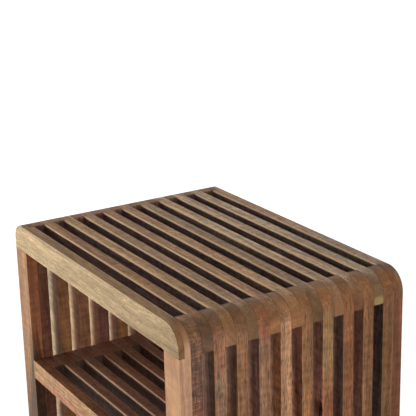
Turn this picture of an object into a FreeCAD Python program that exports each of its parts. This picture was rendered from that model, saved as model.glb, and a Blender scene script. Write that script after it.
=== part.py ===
import FreeCAD, Part
import Sketcher
import math
import os

# A wall-hung nightstand of solid wood slats. Its depth is a stack of equal layers, each a slat or a gap.
# Top and bottom slats lie in the odd layers and side slats in the even layers, so that at the corners
# they pass each other as the fingers of a rounded comb joint. Layer 1 is the front frame.
# Frame: X to the right, Y to the back, Z up. The origin is on the wall plane, midway between the
# entry holes of the two keyhole plates.

doc = FreeCAD.newDocument("floating_nightstand")

SIZES = {
    # the carcass
    "width": 450,
    "depth": 315,
    "height": 420,
    "top_depth": 36,
    "side_depth": 34,
    "corner_radius": 28,
    "arris_radius": 2,
    # the shelf and the stub tenons that carry it
    "shelf_drop": 196,
    "shelf_depth": 27,
    "spacer_length": 37,
    "tenon_length": 15,
    "tenon_height": 17,
    "tenon_thickness": 7,
    "tenon_clearance": 0.1,
    "tenon_end_gap": 1,
    # the back panel in its rebate
    "panel_thickness": 6,
    "panel_lip": 10,
    "panel_clearance": 0.4,
    # countersunk wood screws
    "screw_diameter": 3,
    "screw_head": 6,
    "screw_clearance": 0.1,
    "screw_cover": 2,
    # keyhole hanger plates, each set in from its side of the nightstand
    "plate_inset": 75,
    "plate_length": 44,
    "plate_height": 18,
    "plate_thickness": 2,
    "plate_screw_spacing": 30,
    "entry_diameter": 9,
    "entry_offset": 2.5,
    "slot_width": 4.5,
    "slot_rise": 6.5,
    "chase_width": 10,
    "chase_depth": 9,
}
GAPS = 10
LAYERS = 2 * GAPS + 1
SIDES = {"left": -1, "right": 1}

sheet = doc.addObject("Spreadsheet::Sheet", "sizes")
for row, (alias, value) in enumerate(SIZES.items(), start=1):
    sheet.set(f"A{row}", alias)
    sheet.set(f"B{row}", str(value))
    sheet.setAlias(f"B{row}", alias)
doc.recompute()

# Lines that several pieces share, as rules on the sheet's cells. Heights count down from the top face.
THICKNESS = f"(sizes.depth / {LAYERS})"
HALF_LAP = f"{THICKNESS} / 2"
OUTER = "sizes.width / 2"
INNER = "(sizes.width / 2 - sizes.side_depth)"
TOP = "0"
TOP_UNDERSIDE = "-sizes.top_depth"
BASE_UPPER = "(sizes.top_depth - sizes.height)"
BASE = "-sizes.height"
SHELF_TOP = "-sizes.shelf_drop"
SHELF_UNDERSIDE = "-(sizes.shelf_drop + sizes.shelf_depth)"
SHELF_MIDDLE = "-(sizes.shelf_drop + sizes.shelf_depth / 2)"
SPACER_END = "(sizes.width / 2 - sizes.side_depth - sizes.spacer_length)"
WALL_PLANE = "0"
PLATE_MIDDLE = "-(sizes.top_depth - sizes.panel_lip) / 2"
ENTRY_MIDDLE = f"({PLATE_MIDDLE} - sizes.entry_offset)"
SCREW_HOLE = "(sizes.screw_diameter / 2 + sizes.screw_clearance)"
COUNTERSINK = "(sizes.screw_head - sizes.screw_diameter) / 2"
SCREW_LENGTH = f"({THICKNESS} - sizes.screw_cover)"
CORNER = (
    "min(sizes.corner_radius; sizes.top_depth - sizes.arris_radius; "
    "sizes.side_depth - sizes.arris_radius)"
)


def opposite(rule):
    """The rule for the same distance on the other side of zero."""
    return f"-({rule})"


def sided(side, rule):
    """The rule for a distance to the left or to the right of the middle."""
    return rule if side > 0 else opposite(rule)


def layer_back(layer):
    """The rule for the rear face of a layer."""
    return f"-({LAYERS - layer}) * {THICKNESS}"


# Sketches


def new_sketch(body, role, offset=None):
    """A sketch on one of the body's own planes, moved along that plane's normal."""
    sketch = body.newObject("Sketcher::SketchObject", f"{body.Name}_sketch")
    plane = next(f for f in body.Origin.OriginFeatures if f.Role == role)
    sketch.AttachmentSupport = [(plane, "")]
    sketch.MapMode = "FlatFace"
    if offset:
        sketch.setExpression(".AttachmentOffset.Base.z", offset)
    return sketch


def pin(sketch, curve, end, place):
    """Ties one point of a curve to two rules, measured from the sketch's origin."""
    for kind, axis, rule in zip(("DistanceX", "DistanceY"), (-2, -1), place):
        value = sketch.evalExpression(rule)
        if value == 0:
            sketch.addConstraint(Sketcher.Constraint("PointOnObject", curve, end, axis))
            continue
        if value > 0:
            index = sketch.addConstraint(Sketcher.Constraint(kind, -1, 1, curve, end, value))
        else:
            index = sketch.addConstraint(Sketcher.Constraint(kind, curve, end, -1, 1, -value))
            rule = opposite(rule)
        sketch.setExpression(f"Constraints[{index}]", rule)


def vector(sketch, place):
    return FreeCAD.Vector(*(sketch.evalExpression(rule) for rule in place), 0)


def rectangle(sketch, left, right, low, high):
    corners = [(left, low), (right, low), (right, high), (left, high)]
    first = sketch.GeometryCount
    for start, end in zip(corners, corners[1:] + corners[:1]):
        sketch.addGeometry(Part.LineSegment(vector(sketch, start), vector(sketch, end)))
    for number, corner in enumerate(corners):
        before = first + (number - 1) % len(corners)
        sketch.addConstraint(Sketcher.Constraint("Coincident", before, 2, first + number, 1))
        pin(sketch, first + number, 1, corner)


def circle(sketch, place, radius):
    shape = Part.Circle(vector(sketch, place), FreeCAD.Vector(0, 0, 1), sketch.evalExpression(radius))
    curve = sketch.addGeometry(shape)
    index = sketch.addConstraint(Sketcher.Constraint("Radius", curve, shape.Radius))
    sketch.setExpression(f"Constraints[{index}]", radius)
    pin(sketch, curve, 3, place)


def long_round(sketch, start, end, radius):
    """A straight slot with round ends, from one end's centre to the other's."""
    first, last = vector(sketch, start), vector(sketch, end)
    size = sketch.evalExpression(radius)
    along = (last - first).normalize()
    side = FreeCAD.Vector(-along.y, along.x, 0) * size
    turn = math.atan2(side.y, side.x)
    caps = []
    for centre, begin in ((first, turn), (last, turn + math.pi)):
        ring = Part.Circle(centre, FreeCAD.Vector(0, 0, 1), size)
        caps.append(sketch.addGeometry(Part.ArcOfCircle(ring, begin, begin + math.pi)))
    near = sketch.addGeometry(Part.LineSegment(first - side, last - side))
    far = sketch.addGeometry(Part.LineSegment(last + side, first + side))
    for one, one_end, two, two_end in (
        (caps[0], 2, near, 1),
        (near, 2, caps[1], 1),
        (caps[1], 2, far, 1),
        (far, 2, caps[0], 1),
    ):
        sketch.addConstraint(Sketcher.Constraint("Tangent", one, one_end, two, two_end))
    sketch.addConstraint(Sketcher.Constraint("Equal", *caps))
    index = sketch.addConstraint(Sketcher.Constraint("Radius", caps[0], size))
    sketch.setExpression(f"Constraints[{index}]", radius)
    pin(sketch, caps[0], 3, start)
    pin(sketch, caps[1], 3, end)


def round_over(sketch, corner, into):
    """What a round-over takes off a square corner. into holds the signs of the way into the wood."""
    radius = "sizes.arris_radius"
    steps = [f"{corner[i]} + ({into[i]}) * {radius}" for i in (0, 1)]
    level = (steps[0], corner[1])
    upright = (corner[0], steps[1])
    quarter = {(-1, -1): 0, (1, -1): 1, (1, 1): 2, (-1, 1): 3}[into]
    begin = quarter * math.pi / 2
    ring = Part.Circle(vector(sketch, steps), FreeCAD.Vector(0, 0, 1), sketch.evalExpression(radius))
    arc = sketch.addGeometry(Part.ArcOfCircle(ring, begin, begin + math.pi / 2))
    lines = []
    for tip in (level, upright):
        lines.append(sketch.addGeometry(Part.LineSegment(vector(sketch, corner), vector(sketch, tip))))
        pin(sketch, lines[-1], 2, tip)
    pin(sketch, lines[0], 1, corner)
    sketch.addConstraint(Sketcher.Constraint("Coincident", lines[0], 1, lines[1], 1))
    arc_start, arc_end = (1, 0) if quarter % 2 == 0 else (0, 1)
    sketch.addConstraint(Sketcher.Constraint("Coincident", arc, 1, lines[arc_start], 2))
    sketch.addConstraint(Sketcher.Constraint("Coincident", arc, 2, lines[arc_end], 2))
    index = sketch.addConstraint(Sketcher.Constraint("Radius", arc, ring.Radius))
    sketch.setExpression(f"Constraints[{index}]", radius)


# Features


def new_body(label, back, across=None):
    """A body whose rear face is at a given depth, with its heights counted from the top face."""
    body = doc.addObject("PartDesign::Body", label)
    body.Label = label
    body.setExpression(".Placement.Base.z", opposite(ENTRY_MIDDLE))
    body.setExpression(".Placement.Base.y", back)
    if across:
        body.setExpression(".Placement.Base.x", across)
    return body


def pad(body, sketch, length):
    feature = body.newObject("PartDesign::Pad", f"{body.Name}_pad")
    feature.Profile = sketch
    feature.setExpression("Length", length)
    doc.recompute()
    return feature


def pocket(body, sketch, length, along_normal=False, both_ways=False):
    """Cuts a sketch out of a body, and makes sure that wood was taken away."""
    before = body.Shape.Volume
    feature = body.newObject("PartDesign::Pocket", f"{body.Name}_pocket")
    feature.Profile = sketch
    feature.setExpression("Length", length)
    feature.Reversed = along_normal
    if both_ways:
        feature.SideType = "Symmetric"
    doc.recompute()
    if body.Shape.Volume >= before:
        raise ValueError(f"{feature.Name} cuts nothing")
    return feature


def straight_edges(feature, places):
    """Names of the edges that run along Y through the given places in X and Z."""
    names = []
    for number, edge in enumerate(feature.Shape.Edges, start=1):
        ends = [vertex.Point for vertex in edge.Vertexes]
        for x, z in places:
            here = FreeCAD.Vector(x, 0, z)
            if all(here.isEqual(FreeCAD.Vector(p.x, 0, p.z), Part.Precision.approximation()) for p in ends):
                names.append(f"Edge{number}")
    return names


def rim_edges(feature, radius):
    """Names of the round edges of one radius on the rear face."""
    names = []
    for number, edge in enumerate(feature.Shape.Edges, start=1):
        if not isinstance(edge.Curve, Part.Circle):
            continue
        at_rear = abs(edge.Curve.Center.y) < Part.Precision.approximation()
        if at_rear and abs(edge.Curve.Radius - radius) < Part.Precision.approximation():
            names.append(f"Edge{number}")
    return names


def board(label, back, outline, thickness=THICKNESS, rounded=()):
    """A board one layer thick, drawn in its front outline, with some outer corners rounded."""
    body = new_body(label, back)
    sketch = new_sketch(body, "XZ_Plane")
    rectangle(sketch, *outline)
    blank = pad(body, sketch, thickness)
    if rounded:
        places = [[sketch.evalExpression(rule) for rule in corner] for corner in rounded]
        curve = body.newObject("PartDesign::Fillet", f"{body.Name}_corners")
        curve.Base = (blank, straight_edges(blank, places))
        curve.setExpression("Radius", CORNER)
        doc.recompute()
    return body


def cut_front(body, outlines, depth):
    """Cuts rectangles into the front face of a board."""
    sketch = new_sketch(body, "XZ_Plane", THICKNESS)
    for outline in outlines:
        rectangle(sketch, *outline)
    pocket(body, sketch, depth)


def cut_rear(body, outlines, depth):
    """Cuts rectangles into the rear face of a board."""
    sketch = new_sketch(body, "XZ_Plane")
    for outline in outlines:
        rectangle(sketch, *outline)
    pocket(body, sketch, depth, along_normal=True)


def drill_rear(body, places, radius, depth):
    """Drills round holes into the rear face of a board or a plate."""
    sketch = new_sketch(body, "XZ_Plane")
    for place in places:
        circle(sketch, place, radius)
    return pocket(body, sketch, depth, along_normal=True)


def countersink(body, holes):
    """Countersinks the screw holes at the rear face."""
    sink = body.newObject("PartDesign::Chamfer", f"{body.Name}_countersink")
    sink.Base = (holes, rim_edges(holes, sheet.evalExpression(SCREW_HOLE)))
    sink.setExpression("Size", COUNTERSINK)
    doc.recompute()


def ease_upper_arrises(body, height, run, front=True, rear=True):
    """Rounds the long upper arrises that face a gap, and stops where the gap ends."""
    sketch = new_sketch(body, "YZ_Plane")
    if front:
        round_over(sketch, (opposite(THICKNESS), height), (1, -1))
    if rear:
        round_over(sketch, ("0", height), (-1, -1))
    pocket(body, sketch, run, both_ways=True)


def tenon_profile(body, side, allowance):
    """A sketch of the shelf's tenon in the middle of its layer, at the inner face of a side."""
    sketch = new_sketch(body, "YZ_Plane", sided(side, INNER))
    half = f"(sizes.tenon_thickness / 2 + {allowance})"
    rise = f"(sizes.tenon_height / 2 + {allowance})"
    rectangle(
        sketch,
        f"-{HALF_LAP} - {half}",
        f"-{HALF_LAP} + {half}",
        f"{SHELF_MIDDLE} - {rise}",
        f"{SHELF_MIDDLE} + {rise}",
    )
    return sketch


def mortise(body, side):
    """A blind mortise in a stile or a side slat for one of the shelf's tenons."""
    sketch = tenon_profile(body, side, "sizes.tenon_clearance")
    pocket(body, sketch, "sizes.tenon_length + sizes.tenon_end_gap", along_normal=side > 0)


def tenon(body, side):
    """A stub tenon on the end of the shelf's front rail or of a spacer."""
    feature = pad(body, tenon_profile(body, side, "0"), "sizes.tenon_length")
    feature.Reversed = side < 0
    doc.recompute()


def group(label, members):
    """Like pieces as one node of separate solids."""
    node = doc.addObject("Part::Compound", label)
    node.Label = label
    node.Links = members
    return node


# Top and bottom: a front rail, slats and a rear rail, in the odd layers
GAP_RUN = f"2 * {INNER}"
PANEL_EDGE = f"({INNER} + sizes.panel_lip)"
PANEL_TOP = f"({TOP_UNDERSIDE} + sizes.panel_lip)"
PANEL_BASE = f"({BASE_UPPER} - sizes.panel_lip)"
TOP_OUTLINE = (opposite(OUTER), OUTER, TOP_UNDERSIDE, TOP)
BASE_OUTLINE = (opposite(OUTER), OUTER, BASE, BASE_UPPER)
LEFT_LAP = (opposite(OUTER), opposite(INNER))
RIGHT_LAP = (INNER, OUTER)


def deck(name, outline, outer_edge):
    """The rails and slats of the top or the bottom. The slats have round corners at their outer edge."""
    rounded = [(opposite(OUTER), outer_edge), (OUTER, outer_edge)]
    laps = [ends + outline[2:] for ends in (LEFT_LAP, RIGHT_LAP)]
    front = board(f"front_{name}_rail", layer_back(1), outline, rounded=rounded)
    cut_rear(front, laps, HALF_LAP)
    slats = []
    for number in range(1, GAPS):
        layer = 2 * number + 1
        slats.append(board(f"{name}_slat_{number}", layer_back(layer), outline, rounded=rounded))
    rear = board(f"rear_{name}_rail", layer_back(LAYERS), outline, rounded=rounded)
    cut_front(rear, laps, HALF_LAP)
    return front, slats, rear


front_top, top_slats, rear_top = deck("top", TOP_OUTLINE, TOP)
ease_upper_arrises(front_top, TOP, GAP_RUN, front=False)
ease_upper_arrises(rear_top, TOP, GAP_RUN, rear=False)
for slat in top_slats:
    ease_upper_arrises(slat, TOP, GAP_RUN)
cut_rear(rear_top, [(opposite(PANEL_EDGE), PANEL_EDGE, TOP_UNDERSIDE, PANEL_TOP)], "sizes.panel_thickness")

front_base, base_slats, rear_base = deck("bottom", BASE_OUTLINE, BASE)
cut_rear(rear_base, [(opposite(PANEL_EDGE), PANEL_EDGE, PANEL_BASE, BASE_UPPER)], "sizes.panel_thickness")
base_deck = group("bottom_slats", base_slats)

# Sides: a stile in the front and in the rear frame, and slats in the even layers
stiles = {}
side_slats = []
for name, side in SIDES.items():
    outline = (sided(side, INNER), sided(side, OUTER), BASE, TOP)
    rounded = [(sided(side, OUTER), TOP), (sided(side, OUTER), BASE)]
    laps = [outline[:2] + (TOP_UNDERSIDE, TOP), outline[:2] + (BASE, BASE_UPPER)]
    front = board(f"front_{name}_stile", layer_back(1), outline, rounded=rounded)
    cut_front(front, laps, HALF_LAP)
    mortise(front, side)
    rear = board(f"rear_{name}_stile", layer_back(LAYERS), outline, rounded=rounded)
    cut_rear(rear, laps, HALF_LAP)
    rebate = (sided(side, INNER), sided(side, PANEL_EDGE), BASE_UPPER, TOP_UNDERSIDE)
    cut_rear(rear, [rebate], "sizes.panel_thickness")
    stiles[name] = (front, rear)
    for number in range(1, GAPS + 1):
        slat = board(f"{name}_slat_{number}", layer_back(2 * number), outline, rounded=rounded)
        mortise(slat, side)
        side_slats.append(slat)

# Shelf: a front rail, slats and a thinner rear rail in the odd layers, held apart by spacers at both ends.
# Stub tenons on the front rail and on the spacers carry it in the stiles and the side slats.
SHELF_OUTLINE = (opposite(INNER), INNER, SHELF_UNDERSIDE, SHELF_TOP)
SHELF_RUN = f"2 * {SPACER_END}"
shelf_front = board("shelf_front_rail", layer_back(1), SHELF_OUTLINE)
ease_upper_arrises(shelf_front, SHELF_TOP, SHELF_RUN, front=False)
shelf_slats = []
for number in range(1, GAPS):
    slat = board(f"shelf_slat_{number}", layer_back(2 * number + 1), SHELF_OUTLINE)
    ease_upper_arrises(slat, SHELF_TOP, SHELF_RUN)
    shelf_slats.append(slat)
rear_thickness = f"{THICKNESS} - sizes.panel_thickness"
shelf_rear = board("shelf_rear_rail", "-sizes.panel_thickness", SHELF_OUTLINE, rear_thickness)

spacers = []
for name, side in SIDES.items():
    tenon(shelf_front, side)
    outline = (sided(side, SPACER_END), sided(side, INNER), SHELF_UNDERSIDE, SHELF_TOP)
    blocks = []
    for number in range(1, GAPS + 1):
        block = board(f"shelf_spacer_{name}_{number}", layer_back(2 * number), outline)
        tenon(block, side)
        blocks.append(block)
    spacers.append(group(f"shelf_spacers_{name}", blocks))

# Back panel: thin board glued into the rear frame's rebate
PANEL_HALF = f"({PANEL_EDGE} - sizes.panel_clearance)"
PANEL_UPPER = f"({PANEL_TOP} - sizes.panel_clearance)"
PANEL_LOWER = f"({PANEL_BASE} + sizes.panel_clearance)"
panel_outline = (opposite(PANEL_HALF), PANEL_HALF, PANEL_LOWER, PANEL_UPPER)
panel = board("back_panel", WALL_PLANE, panel_outline, "sizes.panel_thickness")

# Keyhole hanger plates: let in flush with the rear top rail, over a chase for the wall screw's head
PLATE_END = "(sizes.plate_length - sizes.plate_height) / 2"
SLOT_END = f"({ENTRY_MIDDLE} + sizes.slot_rise)"
plate_screws = [sided(side, "sizes.plate_screw_spacing / 2") for side in SIDES.values()]
plates = []
hanger_places = []
recess = new_sketch(rear_top, "XZ_Plane")
chase = new_sketch(rear_top, "XZ_Plane")
for name, side in SIDES.items():
    middle = sided(side, f"({OUTER} - sizes.plate_inset)")
    ends = [(f"{middle} + {step} * {PLATE_END}", PLATE_MIDDLE) for step in (-1, 1)]
    long_round(recess, *ends, "sizes.plate_height / 2")
    long_round(chase, (middle, ENTRY_MIDDLE), (middle, SLOT_END), "sizes.chase_width / 2")
    plate = new_body(f"{name}_hanger_plate", WALL_PLANE, across=middle)
    outline = new_sketch(plate, "XZ_Plane")
    caps = [(sided(step, PLATE_END), PLATE_MIDDLE) for step in (-1, 1)]
    long_round(outline, *caps, "sizes.plate_height / 2")
    pad(plate, outline, "sizes.plate_thickness")
    slot = new_sketch(plate, "XZ_Plane")
    long_round(slot, ("0", ENTRY_MIDDLE), ("0", SLOT_END), "sizes.slot_width / 2")
    pocket(plate, slot, "sizes.plate_thickness", along_normal=True)
    drill_rear(plate, [("0", ENTRY_MIDDLE)], "sizes.entry_diameter / 2", "sizes.plate_thickness")
    screw_places = [(place, PLATE_MIDDLE) for place in plate_screws]
    countersink(plate, drill_rear(plate, screw_places, SCREW_HOLE, "sizes.plate_thickness"))
    hanger_places += [(f"{middle} + {place}", PLATE_MIDDLE) for place in plate_screws]
    plates.append(plate)
pocket(rear_top, recess, "sizes.plate_thickness", along_normal=True)
pocket(rear_top, chase, "sizes.chase_depth", along_normal=True)
drill_rear(rear_top, hanger_places, SCREW_HOLE, SCREW_LENGTH)


# Screws: countersunk heads flush with the wall plane, points towards the front
def screws(label, places):
    """A group of equal screws at the given places in X and height."""
    members = []
    for number, (across, height) in enumerate(places, start=1):
        head = doc.addObject("Part::Cone", f"{label}_head_{number}")
        head.setExpression("Radius1", "sizes.screw_head / 2")
        head.setExpression("Radius2", "sizes.screw_diameter / 2")
        head.setExpression("Height", COUNTERSINK)
        shank = doc.addObject("Part::Cylinder", f"{label}_shank_{number}")
        shank.setExpression("Radius", "sizes.screw_diameter / 2")
        shank.setExpression("Height", f"{SCREW_LENGTH} - {COUNTERSINK}")
        shank.setExpression(".Placement.Base.y", opposite(COUNTERSINK))
        for piece in (head, shank):
            piece.Placement.Rotation = FreeCAD.Rotation(FreeCAD.Vector(1, 0, 0), 90)
            piece.setExpression(".Placement.Base.x", across)
            piece.setExpression(".Placement.Base.z", f"{height} - {ENTRY_MIDDLE}")
        screw = doc.addObject("Part::Fuse", f"{label}_{number}")
        screw.Base = head
        screw.Tool = shank
        members.append(screw)
    return group(label, members)


nodes = [front_top, *top_slats, rear_top, front_base, base_deck, rear_base]
nodes += [stile for pair in stiles.values() for stile in pair] + side_slats
nodes += [shelf_front, *shelf_slats, shelf_rear, *spacers, panel]
nodes += [group("hanger_plates", plates), screws("hanger_screws", hanger_places)]

# Every feature has to be sound before a file is written
doc.recompute()
failed = [item.Name for item in doc.Objects if "Invalid" in item.State or "Error" in item.State]
failed += [node.Label for node in nodes if node.Shape.isNull() or not node.Shape.isValid()]
if failed:
    raise ValueError(f"these failed: {failed}")
os.makedirs("parts", exist_ok=True)
for node in nodes:
    node.Shape.exportStep(f"parts/{node.Label}.step")
    print(node.Label, len(node.Shape.Solids), round(node.Shape.Volume))
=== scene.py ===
import math

import bpy
from mathutils import Matrix, Vector


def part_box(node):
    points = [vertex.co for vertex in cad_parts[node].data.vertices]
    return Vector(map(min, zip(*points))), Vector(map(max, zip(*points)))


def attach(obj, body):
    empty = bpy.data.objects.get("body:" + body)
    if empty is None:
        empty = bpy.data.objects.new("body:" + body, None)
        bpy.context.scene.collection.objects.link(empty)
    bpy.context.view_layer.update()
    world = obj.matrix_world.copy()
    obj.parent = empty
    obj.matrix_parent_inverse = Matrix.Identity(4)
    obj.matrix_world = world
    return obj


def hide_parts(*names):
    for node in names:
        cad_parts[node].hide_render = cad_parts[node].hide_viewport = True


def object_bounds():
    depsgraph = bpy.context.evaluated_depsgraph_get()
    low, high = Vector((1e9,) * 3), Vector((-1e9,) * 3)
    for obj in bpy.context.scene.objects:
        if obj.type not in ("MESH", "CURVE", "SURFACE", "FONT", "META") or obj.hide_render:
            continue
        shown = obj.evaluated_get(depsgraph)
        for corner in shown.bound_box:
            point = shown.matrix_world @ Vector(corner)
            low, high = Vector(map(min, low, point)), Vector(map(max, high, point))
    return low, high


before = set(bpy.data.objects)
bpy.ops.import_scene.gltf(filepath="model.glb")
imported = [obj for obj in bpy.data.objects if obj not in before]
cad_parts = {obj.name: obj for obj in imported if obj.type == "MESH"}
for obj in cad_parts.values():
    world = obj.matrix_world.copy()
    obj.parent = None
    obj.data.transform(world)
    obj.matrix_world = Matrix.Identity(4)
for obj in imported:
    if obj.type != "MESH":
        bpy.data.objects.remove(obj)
cad_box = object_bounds()

# Front frame: two rails and two stiles of planed mango, half-lapped and glued with the rail in front.
# Its corners are sawn and sanded round after gluing: in the photo the left ones are tighter than the right.
# The back upper arris of the top rail is rounded with a router, and the stiles are mortised for the shelf.
LEFT_RADIUS = 0.022
RIGHT_RADIUS = 0.028
CORNER_STEPS = 16
ARRIS_RADIUS = 0.002
ARRIS_STEPS = 4
SANDED_EDGE = 0.0004
SANDED_STEPS = 2
SMOOTH_ANGLE = math.radians(40)
SAW_MARGIN = 0.01
TOUCH = 1e-5
HAIR = 3e-5
TENON_LENGTH = 0.015
TENON_HEIGHT = 0.017
TENON_THICKNESS = 0.007
MORTISE_CLEARANCE = 0.0001
MORTISE_END_GAP = 0.001
inside_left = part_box("shelf_slat_1")[0].x
inside_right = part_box("shelf_slat_1")[1].x
top_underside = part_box("top_slat_1")[0].z
base_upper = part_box("bottom_slats")[1].z
shelf_middle = (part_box("shelf_slat_1")[0].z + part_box("shelf_slat_1")[1].z) / 2
rail_low, rail_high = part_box("front_top_rail")
layer_depth = rail_high.y - rail_low.y


def board_blank(name, low, high):
    """A plain board that fills the given box."""
    low, high = Vector(low), Vector(high)
    bpy.ops.object.select_all(action="DESELECT")
    bpy.ops.mesh.primitive_cube_add(size=1, location=(low + high) / 2, scale=high - low)
    board = bpy.context.object
    board.name = name
    board.data.name = name
    bpy.ops.object.transform_apply(location=True, rotation=True, scale=True)
    return board


def take_up(board):
    """Makes one board the only thing that the next operator works on."""
    bpy.ops.object.select_all(action="DESELECT")
    board.select_set(True)
    bpy.context.view_layer.objects.active = board


def round_edges(board, radius, steps, boxes):
    """Rounds the edges of a board that lie in any of some boxes, given by two corners each."""
    take_up(board)
    mesh = board.data
    for kind in (mesh.vertices, mesh.edges, mesh.polygons):
        kind.foreach_set("select", [False] * len(kind))
    for edge in mesh.edges:
        ends = [mesh.vertices[number].co for number in edge.vertices]
        for low, high in boxes:
            if all(low[i] - TOUCH < end[i] < high[i] + TOUCH for end in ends for i in range(3)):
                edge.select = True
    bpy.context.tool_settings.mesh_select_mode = (False, True, False)
    bpy.ops.object.mode_set(mode="EDIT")
    bpy.ops.mesh.bevel(offset=radius, segments=steps, profile=0.5, affect="EDGES")
    bpy.ops.object.mode_set(mode="OBJECT")


def round_corners(board, low, high, heights):
    """Rounds the outer corners that a board has at the given heights, to the radius of their side."""
    for x, radius in ((rail_low.x, LEFT_RADIUS), (rail_high.x, RIGHT_RADIUS)):
        if low.x - TOUCH < x < high.x + TOUCH:
            corners = [((x, low.y, z), (x, high.y, z)) for z in heights]
            round_edges(board, radius, CORNER_STEPS, corners)


def score(board, axis, places):
    """Divides the faces of a board along planes across one axis."""
    take_up(board)
    bpy.ops.object.mode_set(mode="EDIT")
    for place in places:
        bpy.ops.mesh.select_all(action="SELECT")
        bpy.ops.mesh.bisect(plane_co=Vector(axis) * place, plane_no=axis)
    bpy.ops.object.mode_set(mode="OBJECT")


def cut_out(board, waste):
    """Takes the shape of the waste out of a board, and drops the waste."""
    take_up(board)
    cut = board.modifiers.new("cut", "BOOLEAN")
    cut.operation = "DIFFERENCE"
    cut.object = waste
    bpy.ops.object.modifier_apply(modifier=cut.name)
    bpy.data.meshes.remove(waste.data)


def cut_away(board, low, high):
    """Saws a box out of a board."""
    cut_out(board, board_blank("waste", low, high))


def clean(board):
    """Merges what the cuts leave closer together than a hair."""
    take_up(board)
    bpy.ops.object.mode_set(mode="EDIT")
    bpy.ops.mesh.select_all(action="SELECT")
    bpy.ops.mesh.remove_doubles(threshold=HAIR)
    bpy.ops.mesh.dissolve_degenerate(threshold=HAIR)
    bpy.ops.object.mode_set(mode="OBJECT")


def smooth(board):
    """Smooths the curves of a board and keeps its flat faces flat."""
    clean(board)
    bpy.ops.mesh.customdata_custom_splitnormals_clear()
    bpy.ops.object.shade_smooth_by_angle(angle=SMOOTH_ANGLE)
    flat = board.modifiers.new("flat", "WEIGHTED_NORMAL")
    flat.keep_sharp = True
    bpy.ops.object.modifier_apply(modifier=flat.name)


def sand(board, width=SANDED_EDGE):
    """Breaks all sharp edges a little, then smooths the board."""
    clean(board)
    edge = board.modifiers.new("edge", "BEVEL")
    edge.width = width
    edge.segments = SANDED_STEPS
    edge.limit_method = "ANGLE"
    edge.angle_limit = SMOOTH_ANGLE
    bpy.ops.object.modifier_apply(modifier=edge.name)
    smooth(board)


def fit(board, node):
    """Hangs a finished piece on the root in the place of its node, and hides the node."""
    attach(board, "root")
    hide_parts(node)


def linear(code, factors=(1, 1, 1)):
    """The linear colour of an sRGB hex value, with each part made paler or darker by a factor."""
    parts = [int(code[i : i + 2], 16) / 255 for i in (1, 3, 5)]
    light = [p / 12.92 if p <= 0.04045 else ((p + 0.055) / 1.055) ** 2.4 for p in parts]
    return (*(min(1, part * factor) for part, factor in zip(light, factors)), 1)


def add_node(tree, kind, inputs=None, **settings):
    """Adds a node, sets its options, and sets or links its inputs."""
    node = tree.nodes.new(kind)
    for option, value in settings.items():
        setattr(node, option, value)
    for socket, value in (inputs or {}).items():
        if isinstance(value, bpy.types.NodeSocket):
            tree.links.new(value, node.inputs[socket])
        else:
            node.inputs[socket].default_value = value
    return node


# What the eye sees in mango: length along and width across the grain in metres, and how ragged it is.
# Fibres and pores are really about 0.2 mm wide, and are drawn wider so that they show in the picture.
GRAIN = {
    "zone": (0.16, 0.040, 2),
    "streak": (0.10, 0.004, 3),
    "fibre": (0.035, 0.0012, 2),
    "pore": (0.009, 0.0010, 0),
    "ripple": (0.006, 0.020, 2),
    "ray": (0.0016, 0.012, 1),
}
RING_LENGTH = 0.45
RING_WIDTH = 0.009
DRIFT_LENGTH = 0.13
DRIFT = 0.02
HEART_DISTANCE = 0.06
LOG_STEP = 0.37
TURN_STEP = 2.4
GRAIN_RELIEF = 0.0003
PALE_BAND = (1.42, 1.42, 1.38)
DARK_BAND = (0.62, 0.56, 0.52)
# The pale of worn arrises, which is partly a painted highlight.
WORN_PALE_AND_HIGHLIGHT = "#FBCA88"
END_TONE = "#86603F"
# The brown of the rounded corner, partly its sanded colour and partly painted shade on the curve.
CORNER_BROWN_AND_SHADE = "#93613B"
# How far the rounded corner takes on its brown, with the painted shade in it, how far streaks and fibres
# lighten or darken the wood, how much calmer end grain is, and how dark the line round the ends is.
CORNER_SHARE = 0.55
STREAK_SHADE = 0.22
FIBRE_SHADE = 0.32
END_CALM = 0.65
SEAM_SHADE = 0.45
# Roughness of the matt lacquer from fibre to fibre and on worn arrises, and the shine of each kind of face.
DULL_LACQUER = 0.62
SATIN_LACQUER = 0.5
WORN_LACQUER = 0.32
OUTSIDE_SHINE = 0.25
CHEEK_SHINE = 0.15
WORN_SHINE = 0.5


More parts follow.
